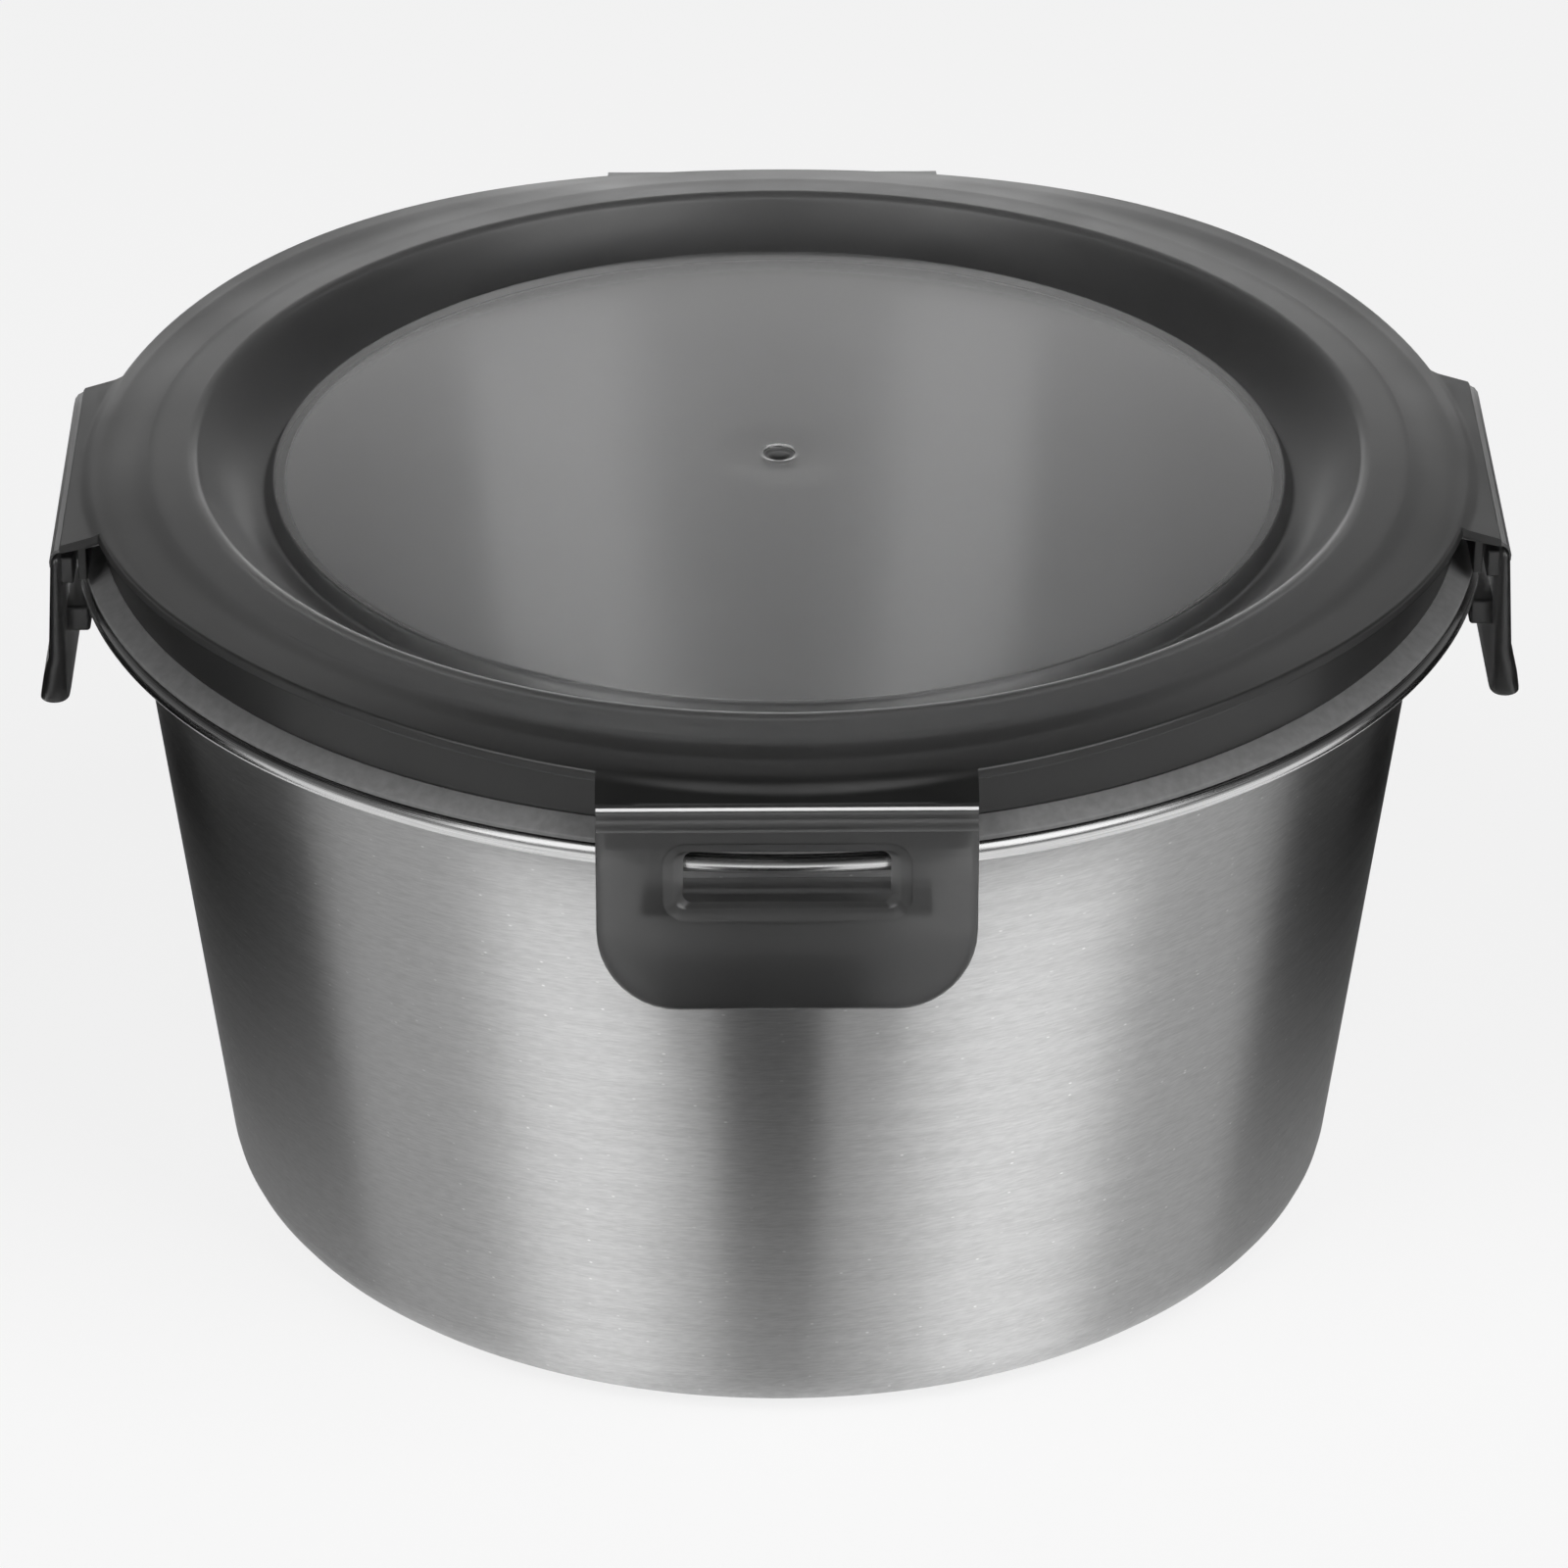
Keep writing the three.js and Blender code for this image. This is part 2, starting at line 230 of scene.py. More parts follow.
# Mesh density
TURN_STEPS = 256
EAR_STEPS = 40
GAP_STEPS = 40
TROUGH_STEPS = 14
DOME_STEPS = 16
SLOPE_COUNT = 6
TOP_COUNT = 9
NOSE_COUNT = 12
LOW_COUNT = 5
UNDER_COUNT = 5
PLATE_STEPS = 10
FACE_STEPS = 4
FLAP_ROUND_STEPS = 12
BACK_SHARES = (0.0, 0.33, 0.67, 1.0)
BLOCK_SEGMENTS = 4
WEB_STEPS = 32
WEB_COLUMNS = 25
ROUND_STEP = math.radians(12)
STRAIGHT = math.radians(89)
SHARP = math.radians(40)
GUARD = 0.06
MERGE = 1e-7
TINY = 1e-9

# Materials. The lid's plastic goes from 0, clear, through 1, satin, to the mark in its middle, where the
# step past 1 only paints shade into the gate pit
NOISE_LOW = 0.3
NOISE_HIGH = 0.7
PLASTIC_IOR = 1.5
CLEAR_ROUGHNESS = 0.09
SATIN_ROUGHNESS = 0.38
LATCH_ROUGHNESS = 0.65
LATCH_GREY = 0.65
BRUSH_DEPTH = 0.02
BRUSH_STRENGTH = 0.3
MARK_PAINTED_SHADE = 1.5
SKIN_EDGE = 0.02
UP_FACING = 0.5

# Studio
FLOOR_SIZE = 6.0
FLOOR_GREY = 0.85
WHITE_SEEN = 0.8
WHITE_MIRRORED = 0.3
CARD_GREY = 0.01
AIM_HEIGHT = 0.06
BACKDROP_LEVEL = 1.3
SKY_LEVEL = 0.06
SKY_FROM = 0.75
FRONT_SHARE = 0.28
FRONT_FROM = 0.85
BACK_FROM = 0.98

# Camera, fitted to the rings of the bowl and the lid in the photograph
FOCAL_PIXELS = 7853
FRAME_PIXELS = 1600
SENSOR = 36
CAMERA_PLACE = Vector((-9.63, -904.35, 549.3))
CAMERA_FALL = math.radians(28.78)
CAMERA_TURN = math.radians(-0.61)
CAMERA_SHIFT = 0.0032
CAMERA_NEAR = 0.05


def clamp(value):
    return min(1.0, max(0.0, value))


def smooth(value):
    """Share from 0 to 1 that starts and ends gently."""
    share = clamp(value)
    return share * share * (3 - 2 * share)


def spread(start, end, count):
    """Evenly spaced points from start to end, both included."""
    return [start + (end - start) * i / (count - 1) for i in range(count)]


def arc(centre, radius, start, end):
    """Points along an arc between two angles."""
    steps = max(2, math.ceil(abs(end - start) / ROUND_STEP))
    angles = spread(start, end, steps + 1)
    return [centre + radius * Vector((math.cos(a), math.sin(a))) for a in angles]


def rounded(corners):
    """Open path through corners of (across, up, radius), with each corner rounded to its radius."""
    places = [Vector(corner[:2]) for corner in corners]
    path = [places[0]]
    for before, place, after, corner in zip(places, places[1:], places[2:], corners[1:]):
        radius = corner[2]
        back = (before - place).normalized()
        ahead = (after - place).normalized()
        half = math.acos(max(-1.0, min(1.0, back.dot(ahead)))) / 2
        if radius == 0 or half > STRAIGHT:
            path.append(place)
            continue
        reach = radius / math.tan(half)
        middle = place + (back + ahead).normalized() * (radius / math.sin(half))
        start = place + back * reach - middle
        end = place + ahead * reach - middle
        turn = math.atan2(start.x * end.y - start.y * end.x, start.dot(end))
        first = math.atan2(start.y, start.x)
        path.append(place + back * (reach + GUARD))
        path.extend(arc(middle, radius, first, first + turn))
        path.append(place + ahead * (reach + GUARD))
    path.append(places[-1])
    return path


def curve_points(corner, radius, count):
    """A set number of points along a path of three places with its middle one rounded."""
    path = rounded([(*corner[0], 0), (*corner[1], radius), (*corner[2], 0)])
    lengths = [0.0]
    for a, b in zip(path, path[1:]):
        lengths.append(lengths[-1] + (b - a).length)
    points = []
    for along in spread(0, lengths[-1], count):
        j = min(len(path) - 2, max(k for k, value in enumerate(lengths) if value <= along + TINY))
        share = (along - lengths[j]) / max(TINY, lengths[j + 1] - lengths[j])
        points.append(path[j] + (path[j + 1] - path[j]) * share)
    return points


def shade(mesh):
    """Smooth shading that stops at sharp edges."""
    mesh.shade_smooth()
    mesh.set_sharp_from_angle(angle=SHARP)


def new_object(name, data):
    made = bpy.data.objects.new(name, data)
    bpy.context.scene.collection.objects.link(made)
    return made


def new_piece(name, build):
    """Object of a mesh that is ready in a bmesh."""
    mesh = bpy.data.meshes.new(name)
    build.to_mesh(mesh)
    build.free()
    shade(mesh)
    return new_object(name, mesh)


def grid_piece(name, columns, closed=True, ring=True):
    """Mesh through columns of points. The columns close into a ring, or end in two caps."""
    rows = len(columns[0])
    build = bmesh.new()
    grid = [[build.verts.new(Vector(point) * MM) for point in column] for column in columns]
    neighbours = grid[1:] + grid[:1] if ring else grid[1:]
    for column, neighbour in zip(grid, neighbours):
        for j in range(rows if closed else rows - 1):
            k = (j + 1) % rows
            build.faces.new((column[j], neighbour[j], neighbour[k], column[k]))
    if ring:
        bmesh.ops.remove_doubles(build, verts=build.verts, dist=MERGE)
        bmesh.ops.dissolve_degenerate(build, edges=build.edges, dist=MERGE)
    else:
        build.faces.new(grid[0])
        build.faces.new(grid[-1][::-1])
    bmesh.ops.recalc_face_normals(build, faces=build.faces)
    return new_piece(name, build)


def turned(name, profile):
    """Piece made by turning a profile of radius and height about the Z axis."""
    columns = []
    for i in range(TURN_STEPS):
        angle = 2 * math.pi * i / TURN_STEPS
        columns.append([(p.x * math.cos(angle), p.x * math.sin(angle), p.y) for p in profile])
    return grid_piece(name, columns, closed=profile[0].x > 0)


def block(name, low, high, radius):
    """Box between two corners with rounded edges."""
    build = bmesh.new()
    bmesh.ops.create_cube(build, size=1)
    for vert in build.verts:
        share = vert.co + Vector((0.5, 0.5, 0.5))
        vert.co = Vector(a + (b - a) * s for a, b, s in zip(low, high, share)) * MM
    bmesh.ops.bevel(build, geom=build.edges, offset=radius * MM, segments=BLOCK_SEGMENTS,
                    affect="EDGES", profile=0.5)
    return new_piece(name, build)


def unite(piece, other):
    """Joins another closed piece into this one."""
    join = piece.modifiers.new("unite", "BOOLEAN")
    join.operation = "UNION"
    join.solver = "EXACT"
    join.object = other
    bpy.context.view_layer.update()
    whole = piece.evaluated_get(bpy.context.evaluated_depsgraph_get())
    mesh = bpy.data.meshes.new_from_object(whole)
    piece.modifiers.clear()
    piece.data = mesh
    bpy.data.objects.remove(other)
    shade(mesh)


def side_turn(turn, size):
    """Rotation from the front to one of the four sides."""
    return Matrix.Rotation(turn * QUARTER, size, "Z")


def face_side(piece, turn):
    """Turns a piece that was made facing the front to one of the four sides."""
    piece.data.transform(side_turn(turn, 4))


def wall_radius(height):
    """Radius of the bowl's outer wall."""
    return MOUTH + (height - (LEDGE - SHEET)) * math.tan(WALL_DRAFT)


def wall_line(start, end, start_radius, end_radius):
    """Two points just inside the ends of the straight wall between two bends."""
    lean = Vector((math.cos(WALL_DRAFT), -math.sin(WALL_DRAFT)))
    first = start + lean * (start_radius if start.y < end.y else -start_radius)
    last = end + lean * (-end_radius if start.y < end.y else end_radius)
    along = (last - first).normalized() * GUARD
    return [first + along, last - along]


def make_bowl():
    """Bowl of one sheet: base, corner, wall, bend to the ledge, rolled bead, and back along the inside."""
    corner = Vector((wall_radius(CORNER_RADIUS) - CORNER_RADIUS / math.cos(WALL_DRAFT), CORNER_RADIUS))
    bend_height = LEDGE - SHEET - RIM_BEND
    bend = Vector((wall_radius(bend_height) + RIM_BEND / math.cos(WALL_DRAFT), bend_height))
    bead = Vector((RIM - BEAD_RADIUS, BEAD_MIDDLE))
    under = math.pi + math.asin((bead.y - LEDGE + SHEET) / BEAD_RADIUS)
    over = 3 * math.pi - math.asin((LEDGE - bead.y) / BEAD_RADIUS)
    profile = [
        Vector((0, 0)),
        Vector((corner.x - GUARD, 0)),
        *arc(corner, CORNER_RADIUS, -QUARTER, -WALL_DRAFT),
        *wall_line(corner, bend, CORNER_RADIUS, RIM_BEND),
        *arc(bend, RIM_BEND, 2 * QUARTER - WALL_DRAFT, QUARTER),
        *arc(bead, BEAD_RADIUS, under, over),
        *arc(bend, RIM_BEND + SHEET, QUARTER, 2 * QUARTER - WALL_DRAFT),
        *wall_line(bend, corner, RIM_BEND + SHEET, CORNER_RADIUS - SHEET),
        *arc(corner, CORNER_RADIUS - SHEET, -WALL_DRAFT, -QUARTER),
        Vector((corner.x - GUARD, SHEET)),
        Vector((0, SHEET)),
    ]
    return turned("bowl_shell", profile)


def make_gasket():
    """Silicone ring: a foot on the ledge, a lip over the bead and a tongue up in the lid's groove."""
    tongue_outside = SKIRT - WALL - TONGUE_PLAY
    tongue_inside = PLUG + TONGUE_PLAY
    tongue_top = SKIRT_FOOT + GROOVE_ROOF - TONGUE_HEADROOM
    foot_inside = wall_radius(LEDGE) + RIM_BEND
    corners = [
        (foot_inside, LEDGE, 0),
        (FOOT_OUTSIDE, LEDGE, GASKET_ROUND),
        (FOOT_OUTSIDE, LIP_LOW, GASKET_ROUND),
        (LIP, LIP_LOW, GASKET_ROUND / 2),
        (LIP, LIP_LOW + LIP_EDGE, GASKET_ROUND),
        (SKIRT, SKIRT_FOOT, 0),
        (tongue_outside, SKIRT_FOOT, GASKET_ROUND),
        (tongue_outside, tongue_top, GASKET_ROUND),
        (tongue_inside, tongue_top, GASKET_ROUND),
        (tongue_inside, SKIRT_FOOT, GASKET_ROUND),
        (foot_inside, LEDGE, 0),
    ]
    return turned("gasket_ring", rounded(corners)[:-1])


def trough_curve(lower):
    """Hollow rise from the foot of the panel to the crease of the raised ring."""
    points = []
    for i in range(1, TROUGH_STEPS):
        along = i / TROUGH_STEPS
        rise = (CREASE_HEIGHT - TROUGH_HEIGHT) * along ** TROUGH_CURVE
        points.append((TROUGH + (CREASE - TROUGH) * along, TROUGH_HEIGHT + rise - lower, 0))
    return points


def dome_curve(lower):
    """Shallow dome of the panel, from its middle out to its edge."""
    points = []
    for i in range(1, DOME_STEPS):
        radius = GATE + (PANEL - GATE) * i / DOME_STEPS
        points.append((radius, PANEL_HEIGHT + PANEL_DOME * (1 - (radius / PANEL) ** 2) - lower, 0))
    return points


def lid_top():
    """Upper surface from the axis out to the outer edge of the raised ring."""
    middle = PANEL_HEIGHT + PANEL_DOME
    pit_floor = middle - GATE_DEPTH
    return rounded([
        (0, pit_floor + GATE_STUB, 0),
        (GATE_STUB_EDGE, pit_floor + GATE_STUB_SIDE, GATE_STUB_ROUND),
        (GATE_STUB_FOOT, pit_floor, GATE_STUB_ROUND),
        (GATE_PIT - GATE_DRAFT, pit_floor + GATE_DRAFT, GATE_DRAFT),
        (GATE_PIT, middle - GATE_DISH, GATE_DRAFT),
        (GATE, middle, GATE_ROUND),
        *dome_curve(0),
        (PANEL, PANEL_HEIGHT, PANEL_ROUND),
        (TROUGH, TROUGH_HEIGHT, TROUGH_ROUND),
        *trough_curve(0),
        (CREASE, CREASE_HEIGHT, CREASE_ROUND),
        (RING, RING_HEIGHT, RING_ROUND),
        (RING + SLOPE_FROM, RING_HEIGHT - SLOPE_DROP, 0),
    ])[:-1]


def lid_underside():
    """Under surface from the skirt's outer face back to the axis."""
    skirt_inside = SKIRT - WALL
    plug_inside = PLUG - WALL
    plug_foot = PLUG_FOOT - SKIRT_FOOT
    return rounded([
        (SKIRT, SKIRT_TOP, 0),
        (SKIRT, 0, GROOVE_ROUND),
        (skirt_inside, 0, GROOVE_ROUND),
        (skirt_inside, GROOVE_ROOF, GROOVE_ROUND),
        (PLUG, GROOVE_ROOF, GROOVE_ROUND),
        (PLUG, plug_foot, UNDER_ROUND),
        (plug_inside, plug_foot, UNDER_ROUND),
        (plug_inside, RING_HEIGHT - WALL, RING_UNDER_ROUND),
        (CREASE + WALL / 2, CREASE_HEIGHT - WALL, UNDER_ROUND),
        *reversed(trough_curve(WALL)),
        (TROUGH - WALL, TROUGH_HEIGHT - WALL, UNDER_ROUND),
        (PANEL - WALL, PANEL_HEIGHT - WALL, UNDER_ROUND),
        *reversed(dome_curve(WALL)),
        (0, PANEL_HEIGHT + PANEL_DOME - GATE_DEPTH - WALL, 0),
    ])


def flange_height(theta):
    """Height of the flange edge, which is lowest at the latches and highest between them."""
    return FLANGE_HEIGHT - FLANGE_WAVE * math.cos(len(SIDES) * theta)


def slope_height(height, along):
    """Height of the slope that falls from the raised ring to the flange edge."""
    return RING_HEIGHT + (height - RING_HEIGHT) * along / FLANGE_RUN


def slope_points(height):
    """Slope from the raised ring to where the flange edge starts."""
    return [Vector((s, slope_height(height, s))) for s in spread(SLOPE_FROM, EDGE_FROM, SLOPE_COUNT)]


def flange_edge(height):
    """Edge of the flange between the latches: its rounded rim and the way back under it to the skirt."""
    low = height - FLANGE_EDGE
    slope_end = slope_points(height)[-1]
    lower = Vector((FLANGE_RUN + FLANGE_OVERHANG, low))
    upper = Vector((lower.x - FLANGE_LEAN, height))
    down = (lower - upper) / FLANGE_EDGE
    top = curve_points([slope_end, upper, upper + down * EDGE_TOP_REACH], EDGE_TOP_ROUND, TOP_COUNT)
    side_top = upper + down * (EDGE_TOP_REACH + POINT_GAP)
    side_low = lower - down * (EDGE_LOW_REACH + POINT_GAP)
    side = spread(side_top, side_low, NOSE_COUNT)
    turn_under = [lower - down * EDGE_LOW_REACH, lower, lower - Vector((EDGE_UNDER_REACH, 0))]
    bottom = curve_points(turn_under, EDGE_LOW_ROUND, LOW_COUNT)
    under = spread(Vector((FLANGE_RUN - UNDER_FROM, low)), Vector((SKIRT - RING, low)), UNDER_COUNT)
    return top + side + bottom + under


def ear_edge(height, run):
    """The same points where an ear carries on from the flange to its straight end."""
    def ear_height(along):
        return EAR_END_HEIGHT + EAR_SLOPE * (run - along)

    top = []
    for s in spread(EDGE_FROM, min(run - EAR_TOP_MARGIN, FLANGE_RUN + EAR_TOP_REACH), TOP_COUNT):
        share = smooth((s - EDGE_FROM) / EAR_BLEND)
        top.append(Vector((s, slope_height(height, s) * (1 - share) + ear_height(s) * share)))
    nose_from = top[-1].x + POINT_GAP
    low = EAR_END_HEIGHT - EAR_NOSE
    nose = curve_points([
        Vector((nose_from, ear_height(nose_from))),
        Vector((run, EAR_END_HEIGHT)),
        Vector((run, EAR_END_HEIGHT - NOSE_TOP_REACH)),
    ], EDGE_TOP_ROUND, NOSE_COUNT)
    root_low = ear_height(SKIRT - RING) - EAR_ROOT
    end_low = Vector((run, low))
    rise = (root_low - low) * EDGE_UNDER_REACH / (run - SKIRT + RING)
    back = Vector((run - EDGE_UNDER_REACH, low + rise))
    bottom = curve_points([Vector((run, low + NOSE_LOW_REACH)), end_low, back], EDGE_LOW_ROUND, LOW_COUNT)
    under = spread(back + (back - end_low) * UNDER_GAP_SHARE, Vector((SKIRT - RING, root_low)), UNDER_COUNT)
    return top + nose + bottom + under


def outward(theta):
    """Direction away from the axis, at an angle from the front latch."""
    return Vector((math.sin(theta), -math.cos(theta)))


def lid_column(theta, outer, ear_end=None):
    """One column of the lid. Past the flange it goes straight to the ear's end, where there is one."""
    out = outward(theta)
    root = out * FLANGE
    points = [(*(out * p.x), p.y + SKIRT_FOOT) for p in lid_top()]
    for p in outer:
        place = out * (RING + p.x)
        if ear_end is not None and p.x > FLANGE_RUN:
            place = root + (ear_end - root) * (p.x - FLANGE_RUN) / (ear_end - root).length
        points.append((*place, p.y + SKIRT_FOOT))
    points.extend((*(out * p.x), p.y + SKIRT_FOOT) for p in lid_underside())
    return points


def make_lid():
    """Lid as one shell of columns all round, with the walls under the ears joined to it."""
    quarter = []
    for theta in spread(-EAR_ANGLE, EAR_ANGLE, EAR_STEPS + 1):
        ear_end = Vector((EAR_HALF * theta / EAR_ANGLE, -EAR_END))
        run = FLANGE_RUN + (ear_end - outward(theta) * FLANGE).length
        height = flange_height(theta)
        quarter.append(lid_column(theta, slope_points(height)[:-1] + ear_edge(height, run), ear_end))
    for theta in spread(EAR_ANGLE, QUARTER - EAR_ANGLE, GAP_STEPS + 1):
        height = flange_height(theta)
        quarter.append(lid_column(theta, slope_points(height)[:-1] + flange_edge(height)))
    columns = []
    for turn in range(len(SIDES)):
        spin = side_turn(turn, 3)
        columns.extend([spin @ Vector(point) for point in column] for column in quarter)
    lid = grid_piece("lid_shell", columns, closed=False)
    ear_underside = SKIRT_FOOT + EAR_END_HEIGHT - EAR_NOSE + EAR_SLOPE * EAR_WALL_SETBACK
    for turn in range(len(SIDES)):
        wall = block(
            "ear_wall",
            (-RIB_HALF, -EAR_WALL_OUTSIDE, SKIRT_FOOT),
            (RIB_HALF, -EAR_WALL_OUTSIDE + EAR_WALL_THICKNESS, ear_underside + EAR_WALL_SUNK),
            EAR_WALL_ROUND,
        )
        face_side(wall, turn)
        unite(lid, wall)
    return lid


def plate(half, low, high, low_round, high_round):
    """Upright outline with round corners. All such outlines match point for point."""
    corners = [
        (Vector((-half + low_round, low + low_round)), low_round, 2 * QUARTER),
        (Vector((half - low_round, low + low_round)), low_round, 3 * QUARTER),
        (Vector((half - high_round, high - high_round)), high_round, 0),
        (Vector((-half + high_round, high - high_round)), high_round, QUARTER),
    ]
    points = []
    for i, (middle, radius, start) in enumerate(corners):
        for angle in spread(start, start + QUARTER, PLATE_STEPS + 1):
            points.append(middle + radius * Vector((math.cos(angle), math.sin(angle))))
        following, next_radius, next_start = corners[(i + 1) % len(corners)]
        target = following + next_radius * Vector((math.cos(next_start), math.sin(next_start)))
        points.extend(spread(points[-1], target, 2 * PLATE_STEPS + 1)[1:-1])
    return points


def tip_share(height):
    """How far down the flared tip a height is, from 0 where the flare starts to 1 at the lower edge."""
    share = clamp((FLAP_LOW + TIP_LENGTH - height) / TIP_LENGTH)
    return share * smooth(TIP_EASE * share)


def flap_front(height):
    """Distance of the flap's outer face from the axis: it leans in to the hinge and flares at the tip."""
    lean = TOP_LEAN * clamp((height - FLAP_TOP + LEAN_LENGTH) / LEAN_LENGTH)
    return FLAP_OUTSIDE - lean + (FLAP_TIP - FLAP_OUTSIDE) * tip_share(height)


def flap_back(height):
    """Distance of the flap's inner face from the axis."""
    return FLAP_INSIDE + TIP_BACK * tip_share(height)


def flap_outline(inset):
    """Outline of the flap, drawn in from its edge."""
    return plate(
        EAR_HALF - inset, FLAP_LOW + inset, FLAP_TOP - inset, FLAP_CORNER - inset, FLAP_TOP_CORNER - inset)


def window_outline(grow):
    """Outline of the window, which grows by its draft up to 0 and by its bevel from there to BEVEL_EDGE."""
    if grow < 0:
        side = WINDOW_DRAFT_SIDE * (1 + grow / WINDOW_DRAFT_EDGE)
    else:
        side = WINDOW_DRAFT_SIDE + BEVEL_SIDE * grow / BEVEL_EDGE
    corner = WINDOW_CORNER + WINDOW_DRAFT_EDGE + grow
    return plate(WINDOW_HALF + side, WINDOW_LOW - grow, WINDOW_TOP + grow, corner, corner)


def between(near, far, share):
    """Outline part of the way from one outline to another."""
    return [a + (b - a) * share for a, b in zip(near, far)]


def flap_rings():
    """Rings of the flap, from the window's edge out over the front, round the rim and back behind."""
    rings = []
    bevel = rounded([
        (-WINDOW_DRAFT_EDGE / 3, -BEVEL_DEPTH - BEVEL_FOOT, 0),
        (0, -BEVEL_DEPTH, BEVEL_FOOT_ROUND),
        (BEVEL_EDGE, 0, BEVEL_ROUND),
        (BEVEL_EDGE + BEVEL_MARGIN, 0, 0),
    ])
    for point in bevel:
        rings.append([(p, flap_front(p.y) + point.y) for p in window_outline(point.x)])
    near = window_outline(bevel[-1].x)
    far = flap_outline(FACE_INSET)
    for i in range(1, FACE_STEPS + 1):
        rings.append([(p, flap_front(p.y)) for p in between(near, far, i / FACE_STEPS)])
    for i in range(1, FLAP_ROUND_STEPS):
        angle = math.pi * i / FLAP_ROUND_STEPS
        ring = []
        for p in flap_outline(FLAP_ROUND * (1 - math.sin(angle))):
            front = flap_front(p.y)
            back = flap_back(p.y)
            ring.append((p, (front + back) / 2 + (front - back) / 2 * math.cos(angle)))
        rings.append(ring)
    back_near = window_outline(0.0)
    for share in BACK_SHARES:
        rings.append([(p, flap_back(p.y)) for p in between(far, back_near, share)])
    back_edge = window_outline(-WINDOW_BACK_SHARE * WINDOW_DRAFT_EDGE)
    rings.append([(p, flap_back(p.y) + WINDOW_BACK_DEPTH / 3) for p in back_edge])
    rings.append([(p, flap_back(p.y) + WINDOW_BACK_DEPTH) for p in window_outline(-WINDOW_DRAFT_EDGE)])
    return rings


def make_flap(turn):
    """Flap of a latch, with its catch bar and the shoulder behind its top."""
    columns = [[(p.x, -depth, p.y) for p, depth in ring] for ring in flap_rings()]
    flap = grid_piece(f"flap_{SIDES[turn]}", columns)
    bar = block(
        "catch_bar",
        (-CATCH_HALF, -FLAP_INSIDE - BLOCK_SUNK, CATCH_LOW),
        (CATCH_HALF, -CATCH_INSIDE, CATCH_TOP),
        CATCH_ROUND,
    )
    shoulder = block(
        "shoulder",
        (-RIB_HALF, -FLAP_INSIDE - BLOCK_SUNK, FLAP_TOP - SHOULDER_HEIGHT),
        (RIB_HALF, -FLAP_INSIDE + SHOULDER_DEPTH, FLAP_TOP - SHOULDER_DROP),
        SHOULDER_ROUND,
    )
    unite(flap, bar)
    unite(flap, shoulder)
    face_side(flap, turn)
    return flap


def web_highlight(share, turn):
    """Share of painted highlight on the web: most along its upper edge, and most on the front latch, with
    faint painted stripes below.
    """
    if share < HIGHLIGHT_FROM:
        return 0.0
    if share < HIGHLIGHT_TO:
        return HIGHLIGHT_FRONT if turn == 0 else HIGHLIGHT_ELSEWHERE
    return HIGHLIGHT_STRIPES_LEVEL + HIGHLIGHT_STRIPES_CHANGE * math.cos(2 * math.pi * HIGHLIGHT_STRIPES * share)


def make_web(turn):
    """Thin web of the living hinge, bent over from the end of the ear to the top of the flap."""
    start = Vector((EAR_END - WEB_START_INSET, WEB_TOP - WEB_START_DROP))
    end = Vector((flap_front(FLAP_TOP - WEB_LAP) + WEB_PROUD, FLAP_TOP - WEB_LAP))
    bend = Vector((end.x + WEB_BEND_OUT, WEB_TOP - WEB_BEND_DROP))
    shares = spread(0, 1, WEB_STEPS + 1)
    outer = []
    inner = []
    for share in shares:
        place = start * (1 - share) ** 2 + bend * 2 * share * (1 - share) + end * share ** 2
        run = (bend - start) * (1 - share) + (end - bend) * share
        out = Vector((-run.y, run.x)).normalized()
        outer.append(place + out * WEB_RIPPLE * math.sin(2 * math.pi * WEB_RIPPLES * share))
        inner.append(place - out * (WEB_THICKNESS * (1 - share) + WEB_THINNEST))
    section = outer + inner[::-1]
    columns = []
    for across in spread(-EAR_HALF + WEB_SIDE_PLAY, EAR_HALF - WEB_SIDE_PLAY, WEB_COLUMNS):
        columns.append([(across, -p.x, p.y) for p in section])
    web = grid_piece(f"web_{SIDES[turn]}", columns, ring=False)
    # Painted highlight at each point of the web's section, the same in every column
    painted_highlight = [web_highlight(share, turn) for share in shares]
    painted_highlight.extend(painted_highlight[::-1])
    highlight_layer = web.data.attributes.new("painted_highlight", "FLOAT", "POINT")
    highlight_layer.data.foreach_set("value", painted_highlight * len(columns))
    face_side(web, turn)
    return web


